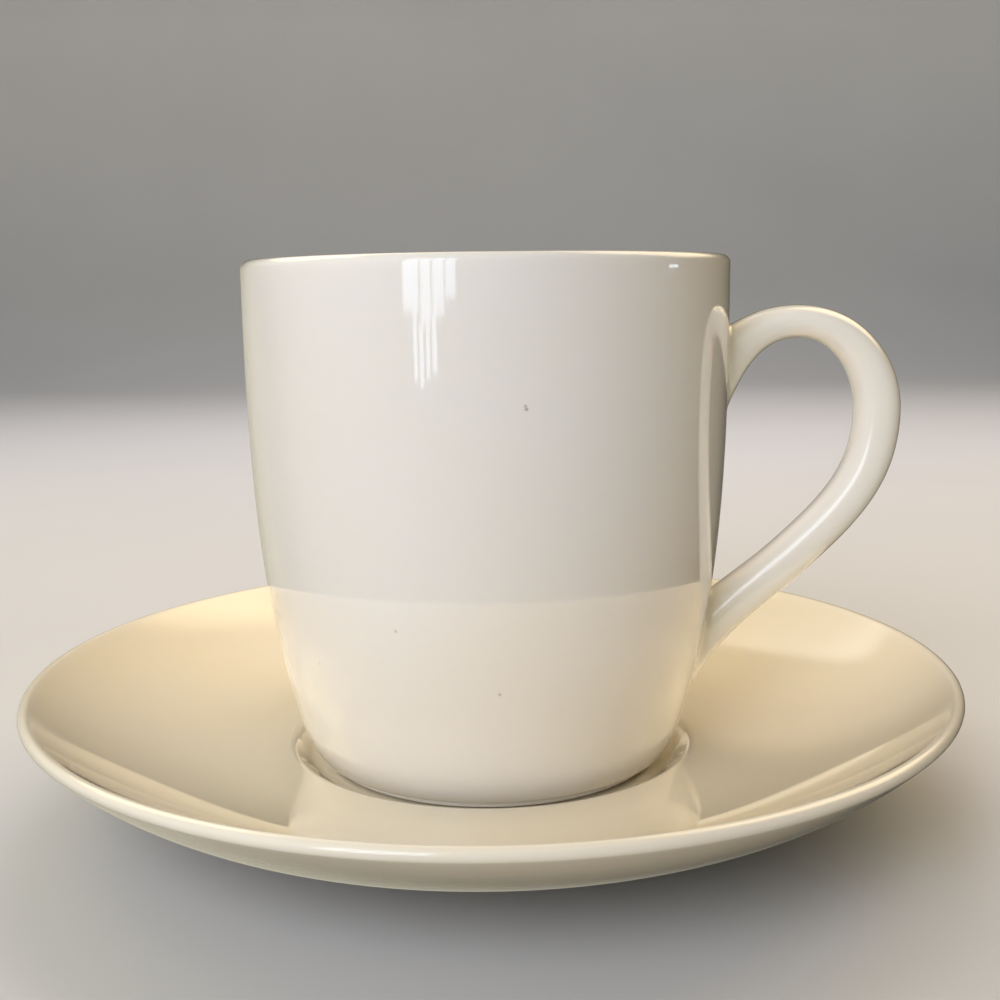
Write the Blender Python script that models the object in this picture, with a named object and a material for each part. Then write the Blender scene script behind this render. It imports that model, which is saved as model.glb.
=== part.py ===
"""Teacup and saucer in glazed bone china: a turned cup body, a cast loop handle luted onto it, and a coupe saucer
whose recessed well holds the cup. Metres, +Z up, saucer foot on z = 0, handle toward +X."""

import math

import bmesh
import bpy
from mathutils import Vector
from mathutils.geometry import interpolate_bezier

# Cup body
CUP_RIM_RADIUS = 0.0381
CUP_HEIGHT = 0.0800
CUP_WALL = 0.0025
CUP_FLOOR = 0.0030
CUP_SHOULDER_RADIUS = 0.0318  # where the wall turns into the rounded base
CUP_SHOULDER_HEIGHT = 0.0080
CUP_TAPER_POWER = 3.15  # how late the wall comes in on its way down to the shoulder
CUP_BASE_DROP = 0.0057  # how far the wall's direction carries into the rounded base
CUP_BASE_RUN = 0.0018  # how far the flat underside's direction carries into it
CUP_FOOT_RADIUS = 0.0272
CUP_FOOT_WIDTH = 0.0026
CUP_FOOT_HEIGHT = 0.0009
CUP_FOOT_RECESS = 0.0014
CUP_FOOT_EDGE = 0.0004

# Cup handle: reaches count out from the rim's radius, drops down from the rim, heights up from the foot
HANDLE_REACH = 0.0273
HANDLE_REACH_DROP = 0.0245
HANDLE_CREST_DROP = 0.00775
HANDLE_CREST_REACH = 0.0110
HANDLE_CREST_THICKNESS = 0.0052
HANDLE_SIDE_THICKNESS = 0.0071
HANDLE_ARM_THICKNESS = 0.0068
HANDLE_ARM_HEIGHT = 0.0326  # middle of the straight lower arm
HANDLE_ARM_REACH = 0.0109
HANDLE_UPPER_JOINT_TOP_DROP = 0.0110
HANDLE_UPPER_JOINT_BOTTOM_DROP = 0.0243
HANDLE_LOWER_JOINT_TOP_HEIGHT = 0.0261
HANDLE_LOWER_JOINT_BOTTOM_HEIGHT = 0.0085
HANDLE_WIDTH = 0.0082
HANDLE_JOINT_WIDTH = 0.0112
HANDLE_SQUARENESS = 2.3  # 2 is an ellipse, more is squarer
HANDLE_FLARE_POWER = 6  # how late the sections widen toward the joints
HANDLE_FULLNESS = 0.39  # how far each curve keeps its end directions, as a share of its chord

# Directions of the handle's edges, in degrees down from +X, along the way from the upper joint to the lower
HANDLE_UPPER_OUTER_TURN = -29.0
HANDLE_UPPER_INNER_TURN = -67.0
HANDLE_ARM_TURN = 137.0
HANDLE_LOWER_OUTER_TURN = 113.5
HANDLE_LOWER_INNER_TURN = 141.5

# Saucer, its heights stacked from the table: recess, floor, well
SAUCER_RADIUS = 0.0740
SAUCER_HEIGHT = 0.0206
SAUCER_LIP = 0.0010  # radius of the full-round lip
SAUCER_WALL = 0.00465  # at the ledge, from where it thins toward the lip
SAUCER_FOOT_RECESS = 0.00245
SAUCER_FLOOR = 0.0030
WELL_DEPTH = 0.0028
WELL_SLOPE = 40.0  # degrees, steepness of the wall of the well
WELL_EDGE = 0.0016
WELL_FILLET = 0.0020
LEDGE_WIDTH = 0.00615
SAUCER_FOOT_OVERHANG = 0.00295  # foot ring's outer face beyond the edge of the well
SAUCER_FOOT_WIDTH = 0.0036
SAUCER_FOOT_EDGE = 0.0006
SAUCER_FOOT_FILLET = 0.0012

# Clearances
SEAT_GAP = 0.0003  # cup foot above the floor of the well
LUTING_GAP = 0.0003  # handle ends off the cup wall
WELL_PLAY = 0.0038  # cup to the edge of the well, all round

# Fineness of the turned and swept surfaces
MERGE_DISTANCE = 0.00001
TURN_STEPS = 56
WALL_STEPS = 8
CURVE_STEPS = 8
ROUND_STEPS = 3
HANDLE_STEPS = 9
HANDLE_SIDES = 20

CHINA_COLOUR = (0.85, 0.80, 0.70, 1.0)
CHINA_ROUGHNESS = 0.12


def clear_scene():
    for obj in list(bpy.data.objects):
        bpy.data.objects.remove(obj, do_unlink=True)


def china(name):
    """Glossy ivory-white glaze."""
    material = bpy.data.materials.new(name)
    material.use_nodes = True
    shader = material.node_tree.nodes["Principled BSDF"]
    shader.inputs["Base Color"].default_value = CHINA_COLOUR
    shader.inputs["Roughness"].default_value = CHINA_ROUGHNESS
    shader.inputs["Metallic"].default_value = 0.0
    return material


def arc(centre, radius, start, end, steps):
    """Points of a circular arc in the profile plane, angles in degrees from +radius toward +Z."""
    points = []
    for i in range(steps + 1):
        angle = math.radians(start + (end - start) * i / steps)
        points.append((centre[0] + radius * math.cos(angle), centre[1] + radius * math.sin(angle)))
    return points


def bezier(start, start_handle, end_handle, end, steps):
    """Points of one cubic curve in a plane."""
    knots = [Vector((x, z, 0.0)) for x, z in (start, start_handle, end_handle, end)]
    return [(p.x, p.y) for p in interpolate_bezier(*knots, steps + 1)]


def without_repeats(points):
    kept = [points[0]]
    for point in points[1:]:
        if math.dist(point, kept[-1]) > MERGE_DISTANCE:
            kept.append(point)
    return kept


def turned(name, profile, parent):
    """A closed solid turned about Z from a profile that starts and ends on the axis."""
    mesh = bpy.data.meshes.new(name)
    points = without_repeats(profile)
    vertices = [(radius, 0.0, height) for radius, height in points]
    edges = [(i, i + 1) for i in range(len(points) - 1)]
    mesh.from_pydata(vertices, edges, [])
    obj = bpy.data.objects.new(name, mesh)
    bpy.context.scene.collection.objects.link(obj)
    obj.parent = parent
    turn = obj.modifiers.new("turn", "SCREW")
    turn.axis = "Z"
    turn.angle = math.tau
    turn.steps = TURN_STEPS
    turn.render_steps = TURN_STEPS
    turn.use_merge_vertices = True
    turn.merge_threshold = MERGE_DISTANCE
    turn.use_smooth_shade = True
    return obj


def empty(name, parent, height):
    obj = bpy.data.objects.new(name, None)
    bpy.context.scene.collection.objects.link(obj)
    obj.parent = parent
    obj.location = (0.0, 0.0, height)
    return obj


def cup_taper():
    """How far the wall has come in at the shoulder, and how far below the rim that is."""
    return CUP_RIM_RADIUS - CUP_SHOULDER_RADIUS, CUP_HEIGHT - CUP_SHOULDER_HEIGHT


def wall_radius(drop):
    """Outside of the cup wall at a drop below the rim: it comes in with a power of the drop."""
    inset, depth = cup_taper()
    return CUP_RIM_RADIUS - inset * (drop / depth) ** CUP_TAPER_POWER


def wall_direction(drop):
    """Direction of the wall going down, as a unit vector in the profile plane."""
    inset, depth = cup_taper()
    lean = math.atan(CUP_TAPER_POWER * inset / depth * (drop / depth) ** (CUP_TAPER_POWER - 1))
    return -math.sin(lean), -math.cos(lean)


def cup_side(inward, raised):
    """The wall and the rounded base from the rim down, moved inward by a wall and up by a floor."""
    rim_drop = CUP_WALL / 2
    shoulder_drop = CUP_HEIGHT - CUP_SHOULDER_HEIGHT - raised
    side = []
    for i in range(WALL_STEPS + 1):
        drop = rim_drop + (shoulder_drop - rim_drop) * i / WALL_STEPS
        side.append((wall_radius(drop) - inward, CUP_HEIGHT - drop))
    start = side[-1]
    along = wall_direction(shoulder_drop)
    end = (CUP_FOOT_RADIUS - inward, CUP_FOOT_HEIGHT + raised)
    start_handle = (start[0] + CUP_BASE_DROP * along[0], start[1] + CUP_BASE_DROP * along[1])
    end_handle = (end[0] + CUP_BASE_RUN, end[1])
    return side + bezier(start, start_handle, end_handle, end, CURVE_STEPS)[1:]


def radius_at(side, height):
    """Radius of a downward profile where it passes a height."""
    for upper, lower in zip(side, side[1:]):
        if upper[1] >= height >= lower[1]:
            share = (upper[1] - height) / (upper[1] - lower[1])
            return upper[0] + share * (lower[0] - upper[0])
    return side[-1][0]


def foot_ring(outer, width, recess, edge):
    """A foot ring's outside, flat bottom and recessed inside, with rounded edges, standing on height 0."""
    inner = outer - width
    points = arc((outer - edge, edge), edge, 0, -90, ROUND_STEPS)
    points += arc((inner + edge, edge), edge, 270, 180, ROUND_STEPS)
    points.append((inner, recess))
    return points


def make_cup_body(parent):
    inner = cup_side(CUP_WALL, CUP_FOOT_RECESS - CUP_FOOT_HEIGHT + CUP_FLOOR)
    outer = cup_side(0.0, 0.0)
    rim_centre = (wall_radius(CUP_WALL / 2) - CUP_WALL / 2, CUP_HEIGHT - CUP_WALL / 2)
    rim = arc(rim_centre, CUP_WALL / 2, 180, 0, 2 * ROUND_STEPS)
    foot = foot_ring(CUP_FOOT_RADIUS, CUP_FOOT_WIDTH, CUP_FOOT_RECESS, CUP_FOOT_EDGE)
    profile = [(0.0, inner[-1][1])] + inner[::-1] + rim + outer + foot + [(0.0, CUP_FOOT_RECESS)]
    body = turned("cup_body", profile, parent)
    body.data.materials.append(china("china_cup"))
    return body


def direction(turn):
    """Unit vector at a turn in degrees down from +X, as reach and drop."""
    return math.cos(math.radians(turn)), math.sin(math.radians(turn))


def wall_point(drop):
    return radius_at(cup_side(0.0, 0.0), CUP_HEIGHT - drop), drop


def handle_edges():
    """Outer and inner edge of the handle in the plane y = 0, as radius and drop, from the upper joint to the lower.
    Each edge passes the wall, the crest, the far side, the lower arm and the wall again."""
    crest = CUP_RIM_RADIUS + HANDLE_CREST_REACH
    side = CUP_RIM_RADIUS + HANDLE_REACH
    arm_along = direction(HANDLE_ARM_TURN)
    arm = (CUP_RIM_RADIUS + HANDLE_ARM_REACH, CUP_HEIGHT - HANDLE_ARM_HEIGHT)
    arm_offset = (HANDLE_ARM_THICKNESS / 2 * arm_along[1], -HANDLE_ARM_THICKNESS / 2 * arm_along[0])
    lower_top = CUP_HEIGHT - HANDLE_LOWER_JOINT_TOP_HEIGHT
    lower_bottom = CUP_HEIGHT - HANDLE_LOWER_JOINT_BOTTOM_HEIGHT
    level, down = (1.0, 0.0), (0.0, 1.0)
    outer = [
        (wall_point(HANDLE_UPPER_JOINT_TOP_DROP), direction(HANDLE_UPPER_OUTER_TURN)),
        ((crest, HANDLE_CREST_DROP), level),
        ((side, HANDLE_REACH_DROP), down),
        ((arm[0] + arm_offset[0], arm[1] + arm_offset[1]), arm_along),
        (wall_point(lower_bottom), direction(HANDLE_LOWER_OUTER_TURN)),
    ]
    inner = [
        (wall_point(HANDLE_UPPER_JOINT_BOTTOM_DROP), direction(HANDLE_UPPER_INNER_TURN)),
        ((crest, HANDLE_CREST_DROP + HANDLE_CREST_THICKNESS), level),
        ((side - HANDLE_SIDE_THICKNESS, HANDLE_REACH_DROP), down),
        ((arm[0] - arm_offset[0], arm[1] - arm_offset[1]), arm_along),
        (wall_point(lower_top), direction(HANDLE_LOWER_INNER_TURN)),
    ]
    return edge_curve(outer), edge_curve(inner)


def edge_curve(knots):
    """A smooth chain of cubic curves through knots with given directions, its ends carried on into the wall."""
    first, last = knots[0][0], knots[-1][0]
    points = [(first[0] - CUP_WALL, first[1])]
    for (start, leaving), (end, arriving) in zip(knots, knots[1:]):
        keep = HANDLE_FULLNESS * math.dist(start, end)
        start_handle = (start[0] + keep * leaving[0], start[1] + keep * leaving[1])
        end_handle = (end[0] - keep * arriving[0], end[1] - keep * arriving[1])
        points += bezier(start, start_handle, end_handle, end, HANDLE_STEPS)[:-1]
    points += [last, (last[0] - CUP_WALL, last[1])]
    return points


def superellipse(angle):
    """Across and along shares of a rounded section at an angle."""
    power = 2 / HANDLE_SQUARENESS
    across = math.copysign(abs(math.cos(angle)) ** power, math.cos(angle))
    along = math.copysign(abs(math.sin(angle)) ** power, math.sin(angle))
    return across, along


def make_handle(parent, trim):
    """Sections lofted between the handle's two edges, trimmed to the cup wall at both joints."""
    outer, inner = handle_edges()
    shape = bmesh.new()
    rings = []
    for i, ((outer_x, outer_drop), (inner_x, inner_drop)) in enumerate(zip(outer, inner)):
        flare = abs(2 * i / (len(outer) - 1) - 1) ** HANDLE_FLARE_POWER
        half_width = (HANDLE_WIDTH + flare * (HANDLE_JOINT_WIDTH - HANDLE_WIDTH)) / 2
        ring = []
        for k in range(HANDLE_SIDES):
            across, along = superellipse(math.tau * k / HANDLE_SIDES)
            x = (outer_x + inner_x) / 2 + across * (outer_x - inner_x) / 2
            drop = (outer_drop + inner_drop) / 2 + across * (outer_drop - inner_drop) / 2
            ring.append(shape.verts.new((x, along * half_width, CUP_HEIGHT - drop)))
        rings.append(ring)
    for ring, following in zip(rings, rings[1:]):
        for k in range(HANDLE_SIDES):
            after = (k + 1) % HANDLE_SIDES
            shape.faces.new((ring[k], following[k], following[after], ring[after]))
    shape.faces.new(rings[0])
    shape.faces.new(rings[-1][::-1])
    bmesh.ops.recalc_face_normals(shape, faces=shape.faces)
    mesh = bpy.data.meshes.new("cup_handle")
    shape.to_mesh(mesh)
    shape.free()
    mesh.shade_smooth()
    handle = bpy.data.objects.new("cup_handle", mesh)
    bpy.context.scene.collection.objects.link(handle)
    handle.parent = parent
    cut = handle.modifiers.new("trim_to_wall", "BOOLEAN")
    cut.operation = "DIFFERENCE"
    cut.solver = "EXACT"
    cut.object = trim
    handle.data.materials.append(china("china_handle"))
    return handle


def make_handle_trim(parent):
    """The space that the cup fills, grown by the luting gap: it cuts the handle's ends to the wall."""
    side = [(radius + LUTING_GAP, height) for radius, height in cup_side(0.0, 0.0)]
    above = CUP_HEIGHT + CUP_WALL
    profile = [(0.0, above), (side[0][0], above)] + side + [(0.0, side[-1][1])]
    trim = turned("handle_trim", profile, parent)
    trim.hide_render = True
    trim.display_type = "WIRE"
    return trim


def well_radius():
    """Where the ledge turns down into the well: it clears the cup by the same play all round at that height."""
    return radius_at(cup_side(0.0, 0.0), WELL_DEPTH - SEAT_GAP) + WELL_PLAY


def make_saucer(parent):
    well = well_radius()
    floor_height = SAUCER_FOOT_RECESS + SAUCER_FLOOR
    ledge_height = floor_height + WELL_DEPTH

    # The wall of the well slopes down from its rounded edge into the fillet round its floor
    slope = math.radians(WELL_SLOPE)
    roundest = WELL_DEPTH / 2 / (1 - math.cos(slope))
    fillet = min(WELL_FILLET, roundest)
    edge = min(WELL_EDGE, roundest)
    straight = (WELL_DEPTH - (fillet + edge) * (1 - math.cos(slope))) / math.sin(slope)
    floor_radius = well - (fillet + edge) * math.sin(slope) - straight * math.cos(slope)

    # The upper curve leaves the ledge level and meets the lip from inside: one arc does both
    lip = (SAUCER_RADIUS - SAUCER_LIP, SAUCER_HEIGHT - SAUCER_LIP)
    curve_start = well + LEDGE_WIDTH
    run = lip[0] - curve_start
    rise = lip[1] - ledge_height
    upper = (run * run + rise * rise - SAUCER_LIP ** 2) / (2 * (rise + SAUCER_LIP))
    upper_centre = (curve_start, ledge_height + upper)
    upper_end = math.degrees(math.atan2(lip[1] - upper_centre[1], run))

    # The lower curve leaves the foot level and goes round the lip
    foot_radius = well + SAUCER_FOOT_OVERHANG
    under_height = ledge_height - SAUCER_WALL
    foot_fillet = min(SAUCER_FOOT_FILLET, under_height / 2)
    under_start = foot_radius + foot_fillet
    under_run = lip[0] - under_start
    under_rise = lip[1] - under_height
    under = (under_run ** 2 + under_rise ** 2 - SAUCER_LIP ** 2) / (2 * (under_rise - SAUCER_LIP))
    under_centre = (under_start, under_height + under)
    under_end = math.degrees(math.atan2(lip[1] - under_centre[1], under_run))

    profile = [(0.0, floor_height)]
    profile += arc((floor_radius, floor_height + fillet), fillet, -90, WELL_SLOPE - 90, ROUND_STEPS)
    profile += arc((well, ledge_height - edge), edge, WELL_SLOPE + 90, 90, ROUND_STEPS)
    profile += arc(upper_centre, upper, -90, upper_end, CURVE_STEPS)
    profile += arc(lip, SAUCER_LIP, upper_end + 180, under_end, 2 * ROUND_STEPS)
    profile += arc(under_centre, under, under_end, -90, CURVE_STEPS)
    profile += arc((under_start, under_height - foot_fillet), foot_fillet, 90, 180, ROUND_STEPS)
    profile += foot_ring(foot_radius, SAUCER_FOOT_WIDTH, SAUCER_FOOT_RECESS, SAUCER_FOOT_EDGE)
    profile.append((0.0, SAUCER_FOOT_RECESS))
    saucer = turned("saucer", profile, parent)
    saucer.data.materials.append(china("china_saucer"))
    return saucer


def main():
    clear_scene()
    assembly = empty("teacup_and_saucer", None, 0.0)
    make_saucer(assembly)
    cup = empty("cup", assembly, SAUCER_FOOT_RECESS + SAUCER_FLOOR + SEAT_GAP)
    make_cup_body(cup)
    make_handle(cup, make_handle_trim(cup))


main()
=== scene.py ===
"""Teacup and saucer in glazed bone china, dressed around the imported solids: a finely turned cup body and
saucer and a lofted loop handle that runs into the wall, with glazed and bare-fired finishes, on a plain
studio floor."""

import math

import bpy
import numpy as np
from bpy.props import FloatProperty, FloatVectorProperty, IntProperty, PointerProperty
from bpy.types import Operator, Panel, PropertyGroup
from mathutils import Matrix, Vector


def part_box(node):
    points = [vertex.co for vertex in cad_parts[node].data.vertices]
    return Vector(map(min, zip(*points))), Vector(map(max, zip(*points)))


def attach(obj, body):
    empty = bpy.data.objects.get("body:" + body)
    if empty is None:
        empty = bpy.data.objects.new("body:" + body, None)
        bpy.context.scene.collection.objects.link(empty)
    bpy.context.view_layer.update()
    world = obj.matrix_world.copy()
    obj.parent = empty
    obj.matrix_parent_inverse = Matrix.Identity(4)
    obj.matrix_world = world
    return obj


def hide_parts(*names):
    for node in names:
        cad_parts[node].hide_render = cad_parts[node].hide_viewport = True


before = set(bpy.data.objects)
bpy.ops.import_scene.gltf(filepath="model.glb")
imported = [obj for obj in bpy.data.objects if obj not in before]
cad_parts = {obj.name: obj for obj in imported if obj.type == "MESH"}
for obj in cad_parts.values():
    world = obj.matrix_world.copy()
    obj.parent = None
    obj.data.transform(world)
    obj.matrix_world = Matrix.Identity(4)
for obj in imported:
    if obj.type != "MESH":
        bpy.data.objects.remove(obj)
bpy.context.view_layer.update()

CUP_LOW, CUP_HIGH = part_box("cup_body")

# Profile points nearer to each other than this count as one
SAME_POINT = 1e-6
# Reach of a corner's or an edge's effect on the glaze along the surface
GLAZE_REACH = 0.0009
# A profile's bend in radians per metre times these is its share of pooled or thin glaze
POOL_PER_BEND = 0.0016
THIN_PER_BEND = 0.0012
# Height over which the glaze gives way to bare clay on a foot ring
BARE_FADE = 0.00012
# Share of pooled glaze in the seam where the handle meets the wall
SEAM_POOL = 0.8
# How strongly the handle's rows gather toward its joints, 0 for even and 1 for the most
GATHERING = 0.92
# Smallest share of the luting fillet, kept where the handle runs out along the wall
LEAST_FILLET = 0.25
# How far the handle's ends are sunk into the wall
SUNK = 0.0006
# Point near the middle of the cup, at which the soft boxes are aimed
AIM = Vector((0.0, 0.0, 0.045))
# Width of the camera's sensor in millimetres
SENSOR = 36.0

bl_info = {
    "name": "China teacup and saucer",
    "version": (1, 0, 0),
    "blender": (4, 5, 0),
    "location": "3D View > Sidebar > China",
    "description": "Dresses the solids of a teacup and saucer as glazed bone china in a plain studio",
    "category": "Object",
}


def length(label, description, default):
    """A length in metres."""
    return FloatProperty(
        name=label, description=description, default=default, min=0.0, precision=5, unit="LENGTH")


def number(label, description, default):
    """A plain number."""
    return FloatProperty(name=label, description=description, default=default, precision=3)


def watts(label, description, default):
    """The power of a light."""
    return FloatProperty(
        name=label, description=description, default=default, min=0.0, precision=3, unit="POWER")


def share(label, description, default):
    """A share from 0 to 1."""
    return FloatProperty(
        name=label, description=description, default=default, min=0.0, max=1.0, subtype="FACTOR")


def degrees(label, description, default):
    """An angle, its default given in degrees."""
    return FloatProperty(
        name=label, description=description, default=math.radians(default), subtype="ANGLE")


def colour(label, description, default):
    """A colour as linear red, green and blue."""
    return FloatVectorProperty(
        name=label, description=description, default=default, size=3, min=0.0, max=1.0, subtype="COLOR")


def count(label, description, default):
    """A number of points."""
    return IntProperty(name=label, description=description, default=default, min=3)


class CupSizes(PropertyGroup):
    """Sizes of the cup body, heights counted from its foot."""

    stand: length("Stand height", "Height of the cup's foot above the table", CUP_LOW.z)
    rim_radius: length("Rim radius", "Outside of the cup at its rim", CUP_HIGH.x)
    height: length("Height", "From the foot to the rim", CUP_HIGH.z - CUP_LOW.z)
    wall: length("Wall", "Thickness of the wall", 0.0025)
    floor: length("Floor", "Thickness of the floor", 0.0030)
    shoulder_radius: length("Shoulder radius", "Where the wall turns into the rounded base", 0.0318)
    shoulder_height: length("Shoulder height", "Height of that turn", 0.0080)
    taper_power: number("Taper power", "How late the wall comes in on its way down", 3.15)
    base_drop: length("Base drop", "How far the wall's direction carries into the rounded base", 0.0057)
    base_run: length("Base run", "How far the underside's direction carries into the rounded base", 0.0018)
    foot_radius: length("Foot radius", "Outside of the foot ring", 0.0272)
    foot_width: length("Foot width", "Width of the foot ring", 0.0026)
    foot_height: length("Foot height", "Height of the foot ring's outside", 0.0009)
    foot_recess: length("Foot recess", "Height of the recess inside the foot ring", 0.0014)
    foot_edge: length("Foot edge", "Rounding of the foot ring", 0.0004)
    foot_bare: length("Bare foot", "Height of the unglazed band on the foot ring", 0.00018)
    turns: count("Turns", "Points round the cup", 288)


class HandleSizes(PropertyGroup):
    """Sizes of the loop handle: reaches from the rim's side, drops from its top, heights from the foot."""

    reach: length("Reach", "Far side beyond the rim", 0.0273)
    reach_drop: length("Reach drop", "Drop of the far side", 0.0245)
    crest_drop: length("Crest drop", "Drop of the highest point", 0.00775)
    crest_reach: length("Crest reach", "Reach of the highest point", 0.0110)
    crest_thickness: length("Crest thickness", "Thickness at the highest point", 0.0052)
    side_thickness: length("Side thickness", "Thickness at the far side", 0.0071)
    arm_thickness: length("Arm thickness", "Thickness of the lower arm", 0.0068)
    arm_height: length("Arm height", "Height of the lower arm's middle", 0.0326)
    arm_reach: length("Arm reach", "Reach of the lower arm's middle", 0.0109)
    upper_top_drop: length("Upper joint top", "Drop of the upper joint's top", 0.0110)
    upper_bottom_drop: length("Upper joint bottom", "Drop of the upper joint's bottom", 0.0243)
    lower_top_height: length("Lower joint top", "Height of the lower joint's top", 0.0261)
    lower_bottom_height: length("Lower joint bottom", "Height of the lower joint's bottom", 0.0085)
    width: length("Width", "Width across the loop", 0.0082)
    joint_width: length("Joint width", "Width at the joints", 0.0112)
    squareness: number("Squareness", "2 is an ellipse, more is squarer", 2.3)
    flare_power: number("Flare power", "How late the sections widen toward the joints", 6.0)
    fullness: number("Fullness", "How far each curve keeps its end directions", 0.39)
    fillet: length("Luting fillet", "Radius of the smoothed seam where handle meets wall", 0.0010)
    upper_outer_turn: degrees("Upper outer turn", "Direction of the outer edge at the upper joint", -29.0)
    upper_inner_turn: degrees("Upper inner turn", "Direction of the inner edge at the upper joint", -67.0)
    arm_turn: degrees("Arm turn", "Direction of the lower arm", 137.0)
    lower_outer_turn: degrees("Lower outer turn", "Direction of the outer edge at the lower joint", 113.5)
    lower_inner_turn: degrees("Lower inner turn", "Direction of the inner edge at the lower joint", 141.5)
    rings: count("Rings", "Sections along the handle", 220)
    sides: count("Sides", "Points round a section", 96)


class SaucerSizes(PropertyGroup):
    """Sizes of the saucer, its heights stacked from the table: recess, floor, well."""

    radius: length("Radius", "Outside of the lip", 0.0740)
    height: length("Height", "Top of the lip", 0.0206)
    lip: length("Lip", "Radius of the full-round lip", 0.0010)
    wall: length("Wall", "Thickness at the ledge, from where it thins toward the lip", 0.00465)
    foot_recess: length("Foot recess", "Height of the recess inside the foot ring", 0.00245)
    floor: length("Floor", "Thickness under the well", 0.0030)
    well_radius: length("Well radius", "Where the ledge turns down into the cup's well", 0.0337)
    well_depth: length("Well depth", "Depth of the well below the ledge", 0.0028)
    well_slope: degrees("Well slope", "Steepness of the well's wall", 40.0)
    well_edge: length("Well edge", "Rounding of the well's upper edge", 0.0022)
    well_fillet: length("Well fillet", "Rounding at the floor of the well", 0.0028)
    ledge_width: length("Ledge width", "Flat ledge round the well", 0.0059)
    foot_overhang: length("Foot overhang", "Foot ring's outside beyond the well", 0.0027)
    foot_width: length("Foot width", "Width of the foot ring", 0.0036)
    foot_edge: length("Foot edge", "Rounding of the foot ring", 0.0006)
    foot_bare: length("Bare foot", "Height of the unglazed band on the foot ring", 0.00025)
    foot_fillet: length("Foot fillet", "Rounding where the foot ring meets the underside", 0.0012)
    turns: count("Turns", "Points round the saucer", 360)


class ChinaFinish(PropertyGroup):
    """Colours and gloss of the china."""

    body: colour("China", "Ivory-white china under the clear glaze", (0.86, 0.84, 0.80))
    warm: colour("Warm drift", "Creamier firing colour that drifts over the cup", (0.86, 0.83, 0.77))
    # Both saucer colours are painted creamier than the cup's china. The extra cream is painted warm light
    # from above on the saucer's top. The patchy drift between the two colours is the china's own variation.
    saucer_body_painted_warm: colour("Saucer china", "China of the saucer, a touch creamier", (0.86, 0.78, 0.62))
    saucer_drift_painted_warm: colour("Saucer drift", "Creamier colour that drifts over the saucer", (0.86, 0.77, 0.585))
    pooled: colour("Pooled glaze", "Glaze gathered in the corners", (0.80, 0.74, 0.60))
    thin: colour("Thin glaze", "Body showing where the glaze runs thin on edges", (0.88, 0.85, 0.78))
    bare: colour("Bare china", "Unglazed china on the foot rings", (0.82, 0.77, 0.68))
    speck: colour("Speck", "Iron specks in the glaze", (0.16, 0.13, 0.11))
    gloss: share("Glaze roughness", "Roughness of the glazed surface", 0.07)
    gloss_clear: share("Clear patches", "How much less rough the clearest patches are", 0.025)
    gloss_dull: share("Dull patches", "How much rougher the dullest patches are", 0.03)
    coat_roughness: share("Coat roughness", "Roughness of the clear coat on the glaze", 0.03)
    bare_roughness: share("Bare roughness", "Roughness of unglazed china", 0.62)
    index: number("Glaze index", "Index of refraction of the glaze", 1.58)
    pool_share: share("Pool share", "How far pooled glaze tints a corner", 0.40)
    thin_share: share("Thin share", "How far the body shows on an edge", 0.45)
    clay_share: share("Clay share", "How far the grain tints bare china", 0.35)
    scatter: share("Scatter", "Share of the light that scatters inside the china", 0.15)
    scatter_reach: length("Scatter reach", "How far light scatters inside the china", 0.002)
    drift_scale: number("Drift scale", "Patches of the colour drift in a metre", 28.0)
    haze_scale: number("Haze scale", "Clear and dull patches of glaze in a metre", 110.0)
    ripple_scale: number("Ripple scale", "Waves of the glaze's slow ripple in a metre", 48.0)
    ripple: number("Ripple", "Height of the ripple in millimetres", 0.020)
    peel_scale: number("Peel scale", "Dimples of the glaze's fine peel in a metre", 620.0)
    peel: number("Peel", "Height of the peel in millimetres", 0.0012)
    grain_scale: number("Grain scale", "Grains of bare china in a metre", 2600.0)
    grain: number("Grain", "Height of the grain in millimetres", 0.05)


class StudioSettings(PropertyGroup):
    """Floor, lights and camera."""

    floor: colour("Floor", "Pale matte floor at the front", (0.60, 0.605, 0.60))
    floor_far: colour("Far floor", "Pale matte floor far behind", (0.58, 0.62, 0.74))
    backdrop: colour("Backdrop", "Pale matte backdrop", (0.88, 0.89, 0.95))
    side: colour("Side light", "Colour of the broad soft light from the left front", (1.0, 0.94, 0.746))
    side_strength: number("Side strength", "Strength of the broad soft light where it is brightest", 0.50)
    ambient: number("Ambient", "Strength of the even light from all round", 0.08)
    rim_strength: number("Rim strength", "Strength of the soft glow low behind on the left", 0.43)
    window: colour("Window", "Colour of the window strips", (0.733, 0.84, 1.0))
    window_power: watts("Window power", "Power of the window strips together", 0.39)
    key: colour("Key box", "Colour of the soft box at the left front", (0.88, 0.88, 1.0))
    key_power: watts("Key power", "Power of the soft box at the left front", 2.16)
    left: colour("Left box", "Colour of the soft box high on the left", (1.0, 0.84, 0.45))
    left_power: watts("Left power", "Power of the soft box high on the left", 1.1)
    crown: colour("Crown box", "Colour of the soft box high behind", (1.0, 0.86, 0.80))
    crown_power: watts("Crown power", "Power of the soft box high behind", 2.6)
    back: colour("Back box", "Colour of the soft box behind on the left", (1.0, 0.95, 0.83))
    back_power: watts("Back power", "Power of the soft box behind on the left", 0.53)
    right: colour("Right box", "Colour of the soft box behind on the right", (1.0, 0.78, 0.48))
    right_power: watts("Right power", "Power of the soft box behind on the right", 2.75)
    fill: colour("Handle fill", "Colour of the weak light on the handle alone", (1.0, 0.88, 0.42))
    fill_power: watts("Handle fill power", "Power of the weak light on the handle alone", 0.34)
    handle_turn: degrees("Handle turn", "How far the handle is turned to the camera", 3.0)
    camera_distance: length("Camera distance", "From the axis of the cup", 0.2041)
    camera_height: length("Camera height", "Above the table", 0.0802)
    camera_pitch: degrees("Camera pitch", "Down from level", 9.20)
    camera_yaw: degrees("Camera yaw", "To the right of the axis", 0.497)
    camera_roll: degrees("Camera roll", "Tilt of the picture", -0.783)
    lens_share: number("Lens", "Focal length as a share of the picture's width", 1.27)


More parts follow.
